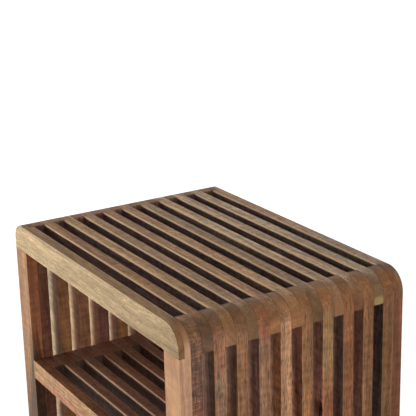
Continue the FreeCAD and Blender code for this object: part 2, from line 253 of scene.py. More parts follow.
def mango(name, along, box, cut, ground, zone, end=END_TONE, upper=None, cheek=None, figure=1, zoning=0.5,
          ripple=0.18, slant=0, short=1, pores=0.4, rays=0, wear_and_highlight=0.4, corner=CORNER_BROWN_AND_SHADE, spots=()):
    """Mango, sanded and matt lacquered: growth bands, broad zones of another colour, short dark pores.
    cut: which cut of the log the board is. end: the colour of end grain. upper, cheek: the colour, if it
    isn't the ground, of faces that look up or down, or sideways on an upright board, and of front and rear
    faces; on faces in the gaps the cheek colour is partly painted light and shade. figure, short: how lively
    and how fine the grain is. zoning, ripple, pores, rays, wear: how strongly each shows; the pale of worn
    arrises is partly a painted highlight. slant: the angle of the ripple. corner: the brown of the rounded
    corner, partly the boards' sanded colour and partly painted shade. spots: middle, half sizes, colour and
    strength of patches of other wood, and of patches of painted light and shade."""
    material = bpy.data.materials.new(name)
    material.use_nodes = True
    tree = material.node_tree
    shader = tree.nodes["Principled BSDF"]
    upright = along == "z"
    middle = (Vector(box[0]) + Vector(box[1])) / 2
    if upright:
        middle = Vector((middle.z, middle.y, -middle.x))
    heart = Vector((cut * LOG_STEP, 0, 0))
    heart += HEART_DISTANCE * Vector((0, math.cos(cut * TURN_STEP), math.sin(cut * TURN_STEP)))
    place = add_node(tree, "ShaderNodeTexCoord").outputs["Object"]
    turned = (0, math.pi / 2 if upright else 0, 0)
    in_log = {"Vector": place, "Location": heart - middle, "Rotation": turned}
    straight = add_node(tree, "ShaderNodeMapping", in_log).outputs[0]
    drift = add_node(tree, "ShaderNodeTexNoise", {"Vector": straight, "Scale": 1 / DRIFT_LENGTH, "Detail": 1})
    log = add_node(
        tree,
        "ShaderNodeVectorMath",
        {0: drift.outputs["Color"], 1: (0, DRIFT, DRIFT), 2: straight},
        operation="MULTIPLY_ADD",
    ).outputs[0]
    layer = {}
    for kind, (length, width, detail) in GRAIN.items():
        width *= math.sqrt(short)
        turned = (0, slant if kind == "ripple" else 0, 0)
        size = {"Vector": log, "Rotation": turned, "Scale": (length * short, width, width)}
        spot = add_node(tree, "ShaderNodeMapping", size, vector_type="TEXTURE").outputs[0]
        noise = {"Vector": spot, "Scale": 1, "Detail": detail}
        layer[kind] = add_node(tree, "ShaderNodeTexNoise", noise).outputs[0]

    # growth bands by the distance from the heart, from dark to pale, then the zones over them
    across = add_node(tree, "ShaderNodeVectorMath", {0: log, 1: (0, 1, 1)}, operation="MULTIPLY").outputs[0]
    radius = add_node(tree, "ShaderNodeVectorMath", {0: across}, operation="LENGTH").outputs["Value"]
    length_in_log = add_node(tree, "ShaderNodeSeparateXYZ", {0: log}).outputs[0]
    ring_place = add_node(tree, "ShaderNodeCombineXYZ", {0: length_in_log, 1: radius}).outputs[0]
    ring_size = {"Vector": ring_place, "Scale": (RING_LENGTH, RING_WIDTH, 1)}
    ring_place = add_node(tree, "ShaderNodeMapping", ring_size, vector_type="TEXTURE").outputs[0]
    rings = add_node(tree, "ShaderNodeTexNoise", {"Vector": ring_place, "Scale": 1, "Detail": 4}).outputs[0]
    bands = add_node(tree, "ShaderNodeValToRGB", {"Fac": rings})
    bands.color_ramp.elements[0].position = 0.32
    bands.color_ramp.elements[0].color = linear(ground, DARK_BAND)
    bands.color_ramp.elements[1].position = 0.68
    bands.color_ramp.elements[1].color = linear(ground, PALE_BAND)
    bands.color_ramp.elements.new(0.5).color = linear(ground)
    share = add_node(
        tree, "ShaderNodeMapRange", {"Value": layer["zone"], 1: 0.42, 2: 0.62, 3: 0, 4: zoning}
    ).outputs[0]
    colour = add_node(
        tree, "ShaderNodeMix", {0: share, 6: bands.outputs[0], 7: linear(zone)}, data_type="RGBA"
    ).outputs[2]

    # end grain drinks more lacquer, and some boards have another colour on top or on the cheeks;
    # the cheek colour in the gaps is partly painted light and shade
    facing = add_node(
        tree, "ShaderNodeSeparateXYZ", {0: add_node(tree, "ShaderNodeNewGeometry").outputs["Normal"]}
    ).outputs
    lengthwise, crosswise = (facing[2], facing[0]) if upright else (facing[0], facing[2])
    upper, cheek = upper or ground, cheek or ground
    for side, tone in ((lengthwise, end), (crosswise, upper), (facing[1], cheek)):
        share = add_node(tree, "ShaderNodeMath", {0: side, 1: side}, operation="MULTIPLY").outputs[0]
        change = [new / old for new, old in zip(linear(tone), linear(ground))]
        colour = add_node(
            tree, "ShaderNodeMix", {0: share, 6: colour, 7: change}, data_type="RGBA", blend_type="MULTIPLY"
        ).outputs[2]

    # patches of other wood, and patches of painted light and shade, ragged along the grain
    for centre, half, tone, most in spots:
        within = {"Vector": place, "Location": centre, "Scale": half}
        offset = add_node(tree, "ShaderNodeMapping", within, vector_type="TEXTURE").outputs[0]
        offset = add_node(tree, "ShaderNodeVectorMath", {0: offset}, operation="LENGTH").outputs["Value"]
        ragged = {0: layer["streak"], 1: 1.2, 2: offset}
        ragged = add_node(tree, "ShaderNodeMath", ragged, operation="MULTIPLY_ADD").outputs[0]
        fading = {"Value": ragged, 1: 1.3, 2: 1.9, 3: most, 4: 0}
        share = add_node(tree, "ShaderNodeMapRange", fading).outputs[0]
        colour = add_node(
            tree, "ShaderNodeMix", {0: share, 6: colour, 7: linear(tone)}, data_type="RGBA"
        ).outputs[2]

    # round the comb corner the boards are mixed towards one darker brown: partly sanding dust and lacquer,
    # partly painted shade on the curve
    turn = add_node(tree, "ShaderNodeMath", {0: facing[0], 1: facing[2]}, operation="MULTIPLY").outputs[0]
    turn = add_node(tree, "ShaderNodeMath", {0: turn}, operation="ABSOLUTE").outputs[0]
    share = {"Value": turn, 1: 0.05, 2: 0.4, 3: 0, 4: CORNER_SHARE}
    share = add_node(tree, "ShaderNodeMapRange", share).outputs[0]
    colour = add_node(
        tree, "ShaderNodeMix", {0: share, 6: colour, 7: linear(corner)}, data_type="RGBA"
    ).outputs[2]

    # light and shade of streaks, fibres, pores, the ripple across the grain and the pale rays
    shade = None
    for kind, low, high, dim, bright in (
        ("streak", 0.3, 0.7, 1 - STREAK_SHADE * figure, 1 + STREAK_SHADE * figure),
        ("fibre", 0.25, 0.75, 1 - FIBRE_SHADE * figure, 1 + FIBRE_SHADE * figure),
        ("pore", 0.56, 0.7, 1, 1 - pores),
        ("ripple", 0.3, 0.7, 1 - ripple, 1 + ripple),
        ("ray", 0.52, 0.64, 1, 1 + rays),
    ):
        factor = add_node(
            tree, "ShaderNodeMapRange", {"Value": layer[kind], 1: low, 2: high, 3: dim, 4: bright}
        ).outputs[0]
        if shade:
            factor = add_node(tree, "ShaderNodeMath", {0: shade, 1: factor}, operation="MULTIPLY").outputs[0]
        shade = factor
    calm = add_node(tree, "ShaderNodeMath", {0: lengthwise, 1: lengthwise}, operation="MULTIPLY").outputs[0]
    calm = add_node(tree, "ShaderNodeMapRange", {"Value": calm, 1: 0, 2: 1, 3: 0, 4: END_CALM}).outputs[0]
    shade = add_node(tree, "ShaderNodeMix", {0: calm, 2: shade, 3: 1}).outputs[0]

    # glue and dust draw a dark line round the ends of the boards
    seam = add_node(tree, "ShaderNodeMath", {0: facing[1], 1: lengthwise}, operation="MULTIPLY").outputs[0]
    seam = add_node(tree, "ShaderNodeMath", {0: seam}, operation="ABSOLUTE").outputs[0]
    seam = {"Value": seam, 1: 0.06, 2: 0.3, 3: 1, 4: SEAM_SHADE}
    seam = add_node(tree, "ShaderNodeMapRange", seam).outputs[0]
    shade = add_node(tree, "ShaderNodeMath", {0: shade, 1: seam}, operation="MULTIPLY").outputs[0]
    toned = add_node(tree, "ShaderNodeHueSaturation", {"Color": colour, "Value": shade}).outputs[0]

    # arrises are worn through to paler wood and polished, and their pale is partly a painted highlight;
    # the cheeks are left duller than the outside
    arris = add_node(tree, "ShaderNodeMath", {0: facing[1], 1: crosswise}, operation="MULTIPLY").outputs[0]
    arris = add_node(tree, "ShaderNodeMath", {0: arris}, operation="ABSOLUTE").outputs[0]
    worn_and_highlight = add_node(tree, "ShaderNodeMapRange", {"Value": arris, 1: 0.06, 2: 0.26, 3: 0, 4: wear_and_highlight}).outputs[0]
    off_end = add_node(tree, "ShaderNodeMath", {0: lengthwise}, operation="ABSOLUTE").outputs[0]
    off_end = add_node(tree, "ShaderNodeMapRange", {"Value": off_end, 1: 0.05, 2: 0.2, 3: 1, 4: 0}).outputs[0]
    uneven = {"Value": layer["zone"], 1: 0.35, 2: 0.6, 3: 1, 4: 0.8}
    uneven = add_node(tree, "ShaderNodeMapRange", uneven).outputs[0]
    for share in (off_end, uneven):
        worn_and_highlight = add_node(tree, "ShaderNodeMath", {0: worn_and_highlight, 1: share}, operation="MULTIPLY").outputs[0]
    finished = add_node(
        tree, "ShaderNodeMix", {0: worn_and_highlight, 6: toned, 7: linear(WORN_PALE_AND_HIGHLIGHT)}, data_type="RGBA"
    ).outputs[2]
    tree.links.new(finished, shader.inputs["Base Color"])
    gloss = {"Value": layer["fibre"], 1: 0.25, 2: 0.75, 3: DULL_LACQUER, 4: SATIN_LACQUER}
    gloss = add_node(tree, "ShaderNodeMapRange", gloss).outputs[0]
    gloss = add_node(tree, "ShaderNodeMix", {0: worn_and_highlight, 2: gloss, 3: WORN_LACQUER}).outputs[0]
    tree.links.new(gloss, shader.inputs["Roughness"])
    bump = add_node(tree, "ShaderNodeBump", {"Strength": 0.35, "Distance": GRAIN_RELIEF, "Height": shade})
    tree.links.new(bump.outputs[0], shader.inputs["Normal"])
    dull = add_node(tree, "ShaderNodeMath", {0: facing[1]}, operation="ABSOLUTE").outputs[0]
    dull = {"Value": dull, 1: 0.8, 2: 0.98, 3: OUTSIDE_SHINE, 4: CHEEK_SHINE}
    dull = add_node(tree, "ShaderNodeMapRange", dull).outputs[0]
    polish = add_node(tree, "ShaderNodeMix", {0: worn_and_highlight, 2: dull, 3: WORN_SHINE}).outputs[0]
    tree.links.new(polish, shader.inputs["Specular IOR Level"])
    return material


def lapped_rail(node, upper, in_front):
    """A rail with two rounded outer corners, cut back to its front or its rear half at both ends.
    The upper arris of a top rail is rounded where it faces the gap."""
    low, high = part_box(node)
    outer = high.z if upper else low.z
    lap = (low.y + high.y) / 2
    board = board_blank(f"{node}_board", low, high)
    round_corners(board, low, high, [outer])
    if upper:
        gap_side = high.y if in_front else low.y
        score(board, (1, 0, 0), (inside_left, inside_right))
        arris = ((inside_left, gap_side, outer), (inside_right, gap_side, outer))
        round_edges(board, ARRIS_RADIUS, ARRIS_STEPS, [arris])
    near, far = (lap, high.y + SAW_MARGIN) if in_front else (low.y - SAW_MARGIN, lap)
    for end, stop in ((low.x - SAW_MARGIN, inside_left), (inside_right, high.x + SAW_MARGIN)):
        cut_away(board, (end, near, low.z - SAW_MARGIN), (stop, far, high.z + SAW_MARGIN))
    return board


def lapped_stile(node, in_front):
    """A stile with two rounded outer corners, cut back to its front or its rear half at both ends."""
    low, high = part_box(node)
    lap = (low.y + high.y) / 2
    board = board_blank(f"{node}_board", low, high)
    round_corners(board, low, high, (low.z, high.z))
    near, far = (lap, high.y + SAW_MARGIN) if in_front else (low.y - SAW_MARGIN, lap)
    for end, stop in ((low.z - SAW_MARGIN, base_upper), (top_underside, high.z + SAW_MARGIN)):
        cut_away(board, (low.x - SAW_MARGIN, near, end), (high.x + SAW_MARGIN, far, stop))
    return board


def chop_mortise(board, node, on_right):
    """A blind mortise for one of the shelf's tenons, from the inner face of a side outwards."""
    low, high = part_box(node)
    middle = Vector((inside_right if on_right else inside_left, (low.y + high.y) / 2, shelf_middle))
    depth = TENON_LENGTH + MORTISE_END_GAP
    inward, outward = (SAW_MARGIN, depth) if on_right else (depth, SAW_MARGIN)
    across = TENON_THICKNESS / 2 + MORTISE_CLEARANCE
    upwards = TENON_HEIGHT / 2 + MORTISE_CLEARANCE
    cut_away(board, middle - Vector((inward, across, upwards)), middle + Vector((outward, across, upwards)))


CREAM = ("#C8AB80", "#B89870")
ROSE_TAN = ("#DEA87C", "#C89876")
ROSE_GREY = ("#B28258", "#9E7658")
# The left stile has dark heartwood from the shelf down.
STILE_HEART = [
    ((-0.192, -0.315, -0.235), (0.016, 0.02, 0.085), "#624A38", 0.95),
    ((-0.205, -0.315, -0.330), (0.034, 0.02, 0.110), "#624A38", 0.95),
]
front_boards = {
    "front_top_rail": lapped_rail("front_top_rail", upper=True, in_front=True),
    "front_bottom_rail": lapped_rail("front_bottom_rail", upper=False, in_front=True),
    "front_left_stile": lapped_stile("front_left_stile", in_front=False),
    "front_right_stile": lapped_stile("front_right_stile", in_front=False),
}
chop_mortise(front_boards["front_left_stile"], "front_left_stile", on_right=False)
chop_mortise(front_boards["front_right_stile"], "front_right_stile", on_right=True)
front_woods = {
    "front_top_rail": mango(
        "mango_front_top_rail", "x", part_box("front_top_rail"), 1, *CREAM, end="#946A40", upper="#AC8458",
        ripple=0.06, slant=0.6, short=0.3, pores=0.35, wear_and_highlight=0.9
    ),
    "front_bottom_rail": mango(
        "mango_front_bottom_rail", "x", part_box("front_bottom_rail"), 2, *ROSE_TAN, figure=0.6
    ),
    "front_left_stile": mango(
        "mango_front_left_stile", "z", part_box("front_left_stile"), 3, *ROSE_GREY, upper="#DC9062",
        figure=0.45, pores=0.25, spots=STILE_HEART
    ),
    "front_right_stile": mango(
        "mango_front_right_stile", "z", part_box("front_right_stile"), 4, *ROSE_TAN, upper="#D6A27E",
        figure=0.25, zoning=0.3, ripple=0.08, pores=0.15
    ),
}
for node, board in front_boards.items():
    sand(board)
    board.data.materials.append(front_woods[node])
    fit(board, node)

# Top slats: nine boards of mango between the front and rear rails, set on edge one thickness apart.
# Their front upper arris is rounded with a router where it faces a gap, and left square in the comb corner.
# The rear one is only broken by sanding.
TOP_CUT = 10
# The faces in the top's gaps are darker and greyer than the slats, the first one's most: painted shade.
TOP_CHEEK_SHADE_GREY = "#A08680"
FIRST_CHEEK_SHADE_GREY = "#846A68"
# Each is of another board: ground colour, colour of its zones, end grain on the sides, brown of the rounded
# corner, partly painted shade, and how worn the arrises are, their pale partly a painted highlight. The rear
# ones are paler and greyer than the front ones: partly painted sheen.
TOP_SLATS = [
    ("#B28458", "#A27050", "#705038", "#382211", 0.85),
    ("#CAA072", "#B48C64", "#A27450", CORNER_BROWN_AND_SHADE, 1),
    ("#C29A74", "#AC886C", "#84603F", "#744D2D", 0.9),
    ("#C49870", "#B48264", "#A67248", "#744D2D", 0.95),
    ("#D2A278", "#BA9072", "#AA744A", CORNER_BROWN_AND_SHADE, 1),
    ("#B49272", "#9C7C5E", "#705030", "#815633", 0.75),
    ("#DAB48E", "#C49E80", "#906644", CORNER_BROWN_AND_SHADE, 0.95),
    ("#E0BC9A", "#C49E86", "#7A4C2C", CORNER_BROWN_AND_SHADE, 0.85),
    ("#C8AC8C", "#B28E7A", "#906E46", "#654226", 0.85),
]
# Two have a paler stretch, and the last one ends in a patch of yellow sapwood on the right.
TOP_SPOTS = {
    5: [((0.165, -0.1575, 0.0155), (0.06, 0.012, 0.01), "#F2C496", 0.6)],
    7: [((0.0, -0.0975, 0.0155), (0.09, 0.012, 0.01), "#F4D6B2", 0.45)],
    9: [((0.225, -0.0375, -0.016), (0.006, 0.008, 0.006), "#B89C68", 0.7)],
}


def another(board, name, shift):
    """A copy of a board with a mesh of its own, moved by the given shift."""
    take_up(board)
    bpy.ops.object.duplicate(linked=False)
    twin = bpy.context.object
    twin.name = name
    twin.data.name = name
    bpy.ops.transform.translate(value=shift)
    bpy.ops.object.transform_apply(location=True, rotation=True, scale=True)
    return twin


slat_low, slat_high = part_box("top_slat_1")
top_slat = board_blank("top_slat_1_board", slat_low, slat_high)
round_corners(top_slat, slat_low, slat_high, [slat_high.z])
score(top_slat, (1, 0, 0), (inside_left, inside_right))
arris = ((inside_left, slat_low.y, slat_high.z), (inside_right, slat_low.y, slat_high.z))
round_edges(top_slat, ARRIS_RADIUS, ARRIS_STEPS, [arris])
sand(top_slat)
top_slats = [top_slat]
for number in range(2, len(TOP_SLATS) + 1):
    shift = (0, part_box(f"top_slat_{number}")[0].y - slat_low.y, 0)
    top_slats.append(another(top_slat, f"top_slat_{number}_board", shift))
for number, (board, (ground, zone, end, corner, wear_and_highlight)) in enumerate(zip(top_slats, TOP_SLATS), start=1):
    node = f"top_slat_{number}"
    cheek = TOP_CHEEK_SHADE_GREY if number > 1 else FIRST_CHEEK_SHADE_GREY
    wood = mango(
        f"mango_{node}", "x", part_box(node), TOP_CUT + number, ground, zone, end, cheek=cheek,
        figure=1.3, wear_and_highlight=wear_and_highlight, corner=corner, spots=TOP_SPOTS.get(number, ())
    )
    board.data.materials.append(wood)
    fit(board, node)

# Side slats: ten upright boards of mango on each side, in the layers of the top's gaps. They are glued in
# between the ends of the top and bottom slats as the fingers of a comb joint, and sanded flush with them.
# The right ones have their outer arrises rounded in the gaps, and each slat has a mortise for the shelf.
SIDE_CUT = {"right": 20, "left": 30}
SIDE_ARRIS = 0.0008
# A face looks forward where the y of its normal is below this.
LOOKS_FORWARD = -0.9
# The left ones but the first are thicker between the joints: in the photo no daylight shows past them.
LEFT_GROWTH = 0.0007
GROWTH_RUN = 0.003
# Each is of another board: ground colour, colour of its zones, colour of the faces in the gaps. The last is
# mostly paler and greyer than the ground: partly painted light and shade in the gaps.
SIDE_SLATS = {
    "right": [
        ("#785440", "#704838", "#8A6448"),
        ("#B88060", "#92785C", "#986A4E"),
        ("#906444", "#845C40", "#A8785A"),
        ("#A87252", "#94765A", "#A36C53"),
        ("#C29068", "#B68668", "#C18D69"),
        ("#A07048", "#966842", "#C08A70"),
        ("#9A6A46", "#88583C", "#B2896F"),
        ("#9C643E", "#905C38", "#9C7C6E"),
        ("#94643E", "#82583A", "#C08C76"),
        ("#845A36", "#744A2E", "#86746A"),
    ],
    "left": [
        ("#A06C54", "#8E5E4A", "#C08858"),
        ("#BC8458", "#A8704A", "#C08858"),
        ("#D69E74", "#C08264", "#EAB27C"),
        ("#A47060", "#8E6052", "#CA8E68"),
        ("#C0885A", "#AA7450", "#D09868"),
        ("#B07850", "#9C6648", "#B88C68"),
        ("#CA9866", "#B6865C", "#C09868"),
        ("#B6804E", "#A47048", "#B88C68"),
        ("#9E6E50", "#8C6048", "#B89064"),
        ("#B68054", "#A4704C", "#B88C68"),
    ],
}
# The left ones have a pale strip painted at the outer front edge, as one shows in each gap in the photo:
# painted light and sheen from the outside.
PAINTED_LIGHT_EDGE = ((0.016, 0.0018, 0.8), "#C4B088", 0.8)
# The sanded end grain at their upper and lower ends.
SIDE_END = "#9D7855"
# Painted shade on the inner face of each slat where a gap of the top ends against it.
NOTCH_DEPTH = 0.014
NOTCH_SHADE = ((0.003, 0.05, 0.015), "#483136", 0.85)
# What stands out on single boards: pale rays and dark heart, grey and red streaks, a knot with a crack,
# painted light along the outer edge of the face in a gap, and a darker or paler brown round the corner,
# partly painted light and shade.
SIDE_FIGURE = {
    "right_slat_1": {
        "corner": "#654226",
        "rays": 0.7,
        "ripple": 0.3,
        "spots": [
            ((0.225, -0.293, -0.035), (0.02, 0.02, 0.010), "#64483C", 0.4),
            ((0.225, -0.290, -0.066), (0.02, 0.02, 0.009), "#64483C", 0.4),
            ((0.225, -0.295, -0.092), (0.02, 0.02, 0.018), "#8A5640", 0.5),
        ],
    },
    "right_slat_2": {
        "corner": "#654226",
        "spots": [((0.225, -0.264, -0.066), (0.02, 0.004, 0.016), "#8A7656", 0.8)],
    },
    "right_slat_3": {"corner": "#6F492A", "end": "#8A6648"},
    "right_slat_4": {
        "spots": [
            ((0.220, -0.202, -0.004), (0.03, 0.02, 0.020), "#A85A3C", 0.6),
            ((0.225, -0.209, -0.100), (0.02, 0.005, 0.080), "#8A7858", 0.45),
            # painted light on the outer part of the face in the gap
            ((0.220, -0.210, -0.100), (0.008, 0.0006, 0.14), "#C5907E", 0.9),
        ],
    },
    # painted light on the outer part of the face in the gap
    "right_slat_5": {"spots": [((0.220, -0.180, -0.100), (0.008, 0.0006, 0.14), "#FFB581", 0.9)]},
    "right_slat_7": {
        "corner": "#B27849",
        "spots": [
            # painted light on the outer part of the face in the gap
            ((0.220, -0.120, -0.100), (0.008, 0.0006, 0.14), "#F6B4A1", 0.9),
            ((0.225, -0.113, -0.050), (0.02, 0.012, 0.040), "#A8865A", 0.6),
            ((0.225, -0.112, -0.137), (0.02, 0.009, 0.022), "#A05A34", 0.6),
            ((0.218, -0.120, -0.138), (0.008, 0.004, 0.012), "#5A3424", 0.6),
            ((0.2215, -0.120, -0.136), (0.0016, 0.003, 0.008), "#1C120E", 0.95),
            ((0.2185, -0.120, -0.142), (0.0014, 0.003, 0.007), "#1C120E", 0.95),
        ],
    },
    "right_slat_8": {"corner": "#815633"},
    "right_slat_9": {"corner": "#A77144"},
    "right_slat_10": {"corner": "#9F6A41"},
}


def thicken(board, growth):
    """Leaves more wood on the front of an upright slat between its joints, down to nothing next to them."""
    lower, upper = base_upper + GROWTH_RUN, top_underside - GROWTH_RUN
    score(board, (0, 0, 1), (lower, upper))
    take_up(board)
    mesh = board.data
    for kind in (mesh.vertices, mesh.edges):
        kind.foreach_set("select", [False] * len(kind))
    for face in mesh.polygons:
        face.select = face.normal.y < LOOKS_FORWARD and lower < face.center.z < upper
    bpy.context.tool_settings.mesh_select_mode = (False, False, True)
    bpy.ops.object.mode_set(mode="EDIT")
    bpy.ops.transform.translate(value=(0, -growth, 0))
    bpy.ops.object.mode_set(mode="OBJECT")


for side, tones in SIDE_SLATS.items():
    on_right = side == "right"
    slat_low, slat_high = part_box(f"{side}_slat_1")
    outer, inner = (slat_high.x, slat_low.x) if on_right else (slat_low.x, slat_high.x)
    side_slat = board_blank(f"{side}_slat_1_board", slat_low, slat_high)
    round_corners(side_slat, slat_low, slat_high, (slat_low.z, slat_high.z))
    score(side_slat, (0, 0, 1), (base_upper, top_underside))
    if on_right:
        arrises = [((outer, y, base_upper), (outer, y, top_underside)) for y in (slat_low.y, slat_high.y)]
        round_edges(side_slat, SIDE_ARRIS, ARRIS_STEPS, arrises)
    chop_mortise(side_slat, f"{side}_slat_1", on_right)
    second = another(side_slat, f"{side}_slat_2_board", (0, 2 * layer_depth, 0))
    if not on_right:
        thicken(second, LEFT_GROWTH)
    sand(side_slat)
    sand(second)
    side_slats = [side_slat, second]
    for number in range(3, len(tones) + 1):
        shift = (0, 2 * layer_depth * (number - 2), 0)
        side_slats.append(another(second, f"{side}_slat_{number}_board", shift))
    for number, (board, (ground, zone, cheek)) in enumerate(zip(side_slats, tones), start=1):
        node = f"{side}_slat_{number}"
        cut = SIDE_CUT[side] + number
        lively = {"end": SIDE_END, "figure": 1.25, "ripple": 0.24, "pores": 0.5, "wear_and_highlight": 0.15}
        lively.update(SIDE_FIGURE.get(node, {}))
        # painted shade on the inner face under the end of each gap of the top
        spots = [((inner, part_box(node)[0].y, slat_high.z - NOTCH_DEPTH), *NOTCH_SHADE)]
        spots += lively.pop("spots", [])
        if not on_right:
            # painted light and sheen at the outer front edge of the face in each gap
            spots.append(((outer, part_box(node)[0].y, shelf_middle), *PAINTED_LIGHT_EDGE))
            lively.update(figure=0.9, pores=0.2)
        lively["spots"] = spots
        wood = mango(f"mango_{node}", "z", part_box(node), cut, ground, zone, cheek=cheek, **lively)
        board.data.materials.append(wood)
        fit(board, node)

# Bottom slats: nine boards of mango like those of the top, turned over. Their arrises are only broken by
# sanding. They share one node, so the row is joined to one piece.
BOTTOM_CUT = 40
BOTTOM_SLATS = [("#A0764E", "#8E6846"), ("#946844", "#845A3C"), ("#A6805E", "#966E54")]
bottom_low, bottom_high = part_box("bottom_slats")
slat_high = Vector((bottom_high.x, bottom_low.y + layer_depth, bottom_high.z))
bottom_slat = board_blank("bottom_slats_boards", bottom_low, slat_high)
round_corners(bottom_slat, bottom_low, slat_high, [bottom_low.z])
sand(bottom_slat)


def join(pieces):
    """Makes one piece of several, under the name of the first."""
    take_up(pieces[0])
    for piece in pieces:
        piece.select_set(True)
    bpy.ops.object.join()


def row_of(board, name, count, tones, cut):
    """Repeats a board in every other layer, gives each copy its own wood and joins the row to one piece."""
    row = [board]
    for number in range(1, count):
        row.append(another(board, f"{name}_{number}", (0, 2 * layer_depth * number, 0)))
    for number, copy in enumerate(row):
        corners = [copy.matrix_world @ Vector(corner) for corner in copy.bound_box]
        box = (corners[0], corners[6])
        wood = mango(f"mango_{name}_{number + 1}", "x", box, cut + number, *tones[number % len(tones)])
        copy.data.materials.append(wood)
    join(row)


row_of(bottom_slat, "bottom_slat", len(TOP_SLATS), BOTTOM_SLATS, BOTTOM_CUT)
fit(bottom_slat, "bottom_slats")

# Shelf: a front rail, nine slats and a thin rear rail on the same grid, with spacer blocks glued between
# them at both ends. Stub tenons carry the rail and the blocks in the stiles and side slats.
# The slats' upper arrises are rounded between the blocks, front and rear.
SHELF_CUT = 50
SHELF_FRONT_CUT = 61
SHELF_REAR_CUT = 62
SPACER_CUT = {"right": 70, "left": 80}
SHELF_RAIL = ("#BE9468", "#C08A64")
# The faces in the shelf's gaps are greyer than the slats: painted shade.
SHELF_CHEEK_SHADE_GREY = "#947668"
PINK_STREAK = [((-0.05, -0.315, -0.204), (0.16, 0.02, 0.006), "#C48460", 0.7)]
BLOCK_END = "#6E564C"
SHELF_SLATS = [
    ("#A27056", "#885A48", BLOCK_END),
    ("#9C6C56", "#825648", BLOCK_END),
    ("#A0725C", "#865E50", BLOCK_END),
]
slat_low, slat_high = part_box("shelf_slat_1")
block_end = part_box("shelf_spacers_right")[0].x


def round_shelf_arrises(board, high, sides):
    """Rounds the upper arrises of a shelf board between the spacer blocks."""
    score(board, (1, 0, 0), (-block_end, block_end))
    for y in sides:
        arris = ((-block_end, y, high.z), (block_end, y, high.z))
        round_edges(board, ARRIS_RADIUS, ARRIS_STEPS, [arris])


def cut_tenon(board, low, high, on_right):
    """Cuts the four shoulders of a stub tenon on one end of a board."""
    middle = (low.y + high.y) / 2
    start, stop = high.x - TENON_LENGTH, high.x + SAW_MARGIN
    if not on_right:
        start, stop = low.x - SAW_MARGIN, low.x + TENON_LENGTH
    front, rear = low.y - SAW_MARGIN, high.y + SAW_MARGIN
    under, over = low.z - SAW_MARGIN, high.z + SAW_MARGIN
    half_thickness, half_height = TENON_THICKNESS / 2, TENON_HEIGHT / 2
    cut_away(board, (start, front, under), (stop, middle - half_thickness, over))
    cut_away(board, (start, middle + half_thickness, under), (stop, rear, over))
    cut_away(board, (start, front, under), (stop, rear, shelf_middle - half_height))
    cut_away(board, (start, front, shelf_middle + half_height), (stop, rear, over))


shelf_slat = board_blank("shelf_slat_1_board", slat_low, slat_high)
round_shelf_arrises(shelf_slat, slat_high, (slat_low.y, slat_high.y))
sand(shelf_slat)
shelf_slats = [shelf_slat]
for number in range(2, len(TOP_SLATS) + 1):
    shift = (0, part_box(f"shelf_slat_{number}")[0].y - slat_low.y, 0)
    shelf_slats.append(another(shelf_slat, f"shelf_slat_{number}_board", shift))
for number, board in enumerate(shelf_slats, start=1):
    node = f"shelf_slat_{number}"
    tones = SHELF_SLATS[number % len(SHELF_SLATS)]
    cut = SHELF_CUT + number
    wood = mango(f"mango_{node}", "x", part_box(node), cut, *tones, cheek=SHELF_CHEEK_SHADE_GREY, wear_and_highlight=0.45)
    board.data.materials.append(wood)
    fit(board, node)

low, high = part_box("shelf_front_rail")
shelf_rail = board_blank("shelf_front_rail_board", low, high)
round_shelf_arrises(shelf_rail, high, [high.y])
cut_tenon(shelf_rail, low, high, on_right=False)
cut_tenon(shelf_rail, low, high, on_right=True)
sand(shelf_rail)
wood = mango(
    "mango_shelf_front_rail", "x", (low, high), SHELF_FRONT_CUT, *SHELF_RAIL, upper="#9A6848",
    figure=1.4, spots=PINK_STREAK
)
shelf_rail.data.materials.append(wood)
fit(shelf_rail, "shelf_front_rail")

low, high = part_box("shelf_rear_rail")
shelf_rear = board_blank("shelf_rear_rail_board", low, high)
sand(shelf_rear)
wood = mango("mango_shelf_rear_rail", "x", (low, high), SHELF_REAR_CUT, *SHELF_SLATS[1])
shelf_rear.data.materials.append(wood)
fit(shelf_rear, "shelf_rear_rail")

for side in SIDE_SLATS:
    low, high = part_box(f"shelf_spacers_{side}")
    block_high = Vector((high.x, low.y + layer_depth, high.z))
    block = board_blank(f"shelf_spacers_{side}_blocks", low, block_high)
    cut_tenon(block, low, block_high, side == "right")
    sand(block)
    row_of(block, f"{side}_spacer", len(SIDE_SLATS[side]), SHELF_SLATS, SPACER_CUT[side])
    fit(block, f"shelf_spacers_{side}")

# Rear frame: rails and stiles half-lapped with the rail at the back, with a rebate round the inner edge
# for the panel. The top rail has two flat recesses for the hanger plates, and a chase behind each keyhole
# that leaves room for the head of the wall screw.
REAR_CUT = 90
PALE_BROWN = ("#CEA680", "#B88E70")
RUSSET = ("#885435", "#76452C")
# The top rail turns grey towards its right end, and dark where the corner starts.
RAIL_END = [
    ((0.140, -0.0075, 0.0155), (0.10, 0.03, 0.012), "#AF9C86", 0.6),
    ((0.203, -0.0075, 0.0155), (0.014, 0.02, 0.009), "#6A564C", 0.75),
]
PANEL_CLEARANCE = 0.0004
PLATE_INSET = 0.075
PLATE_LENGTH = 0.044
PLATE_HEIGHT = 0.018
PLATE_THICKNESS = 0.002
CHASE_WIDTH = 0.0098
CHASE_DEPTH = 0.009
ENTRY_DIAMETER = 0.009
SLOT_WIDTH = 0.0045
SLOT_RISE = 0.0065
ROUND_END_STEPS = 10
panel_low, panel_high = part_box("back_panel")
plate_low, plate_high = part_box("hanger_plates")
plate_height = (plate_low.z + plate_high.z) / 2
plate_places = [rail_low.x + PLATE_INSET, rail_high.x - PLATE_INSET]


def round_ended(name, low, high, radius):
    """A bar between two corners with its ends rounded, as seen from the back."""
    bar = board_blank(name, low, high)
    corners = [((x, low[1], z), (x, high[1], z)) for x in (low[0], high[0]) for z in (low[2], high[2])]
    round_edges(bar, radius - TOUCH, ROUND_END_STEPS, corners)
    return bar


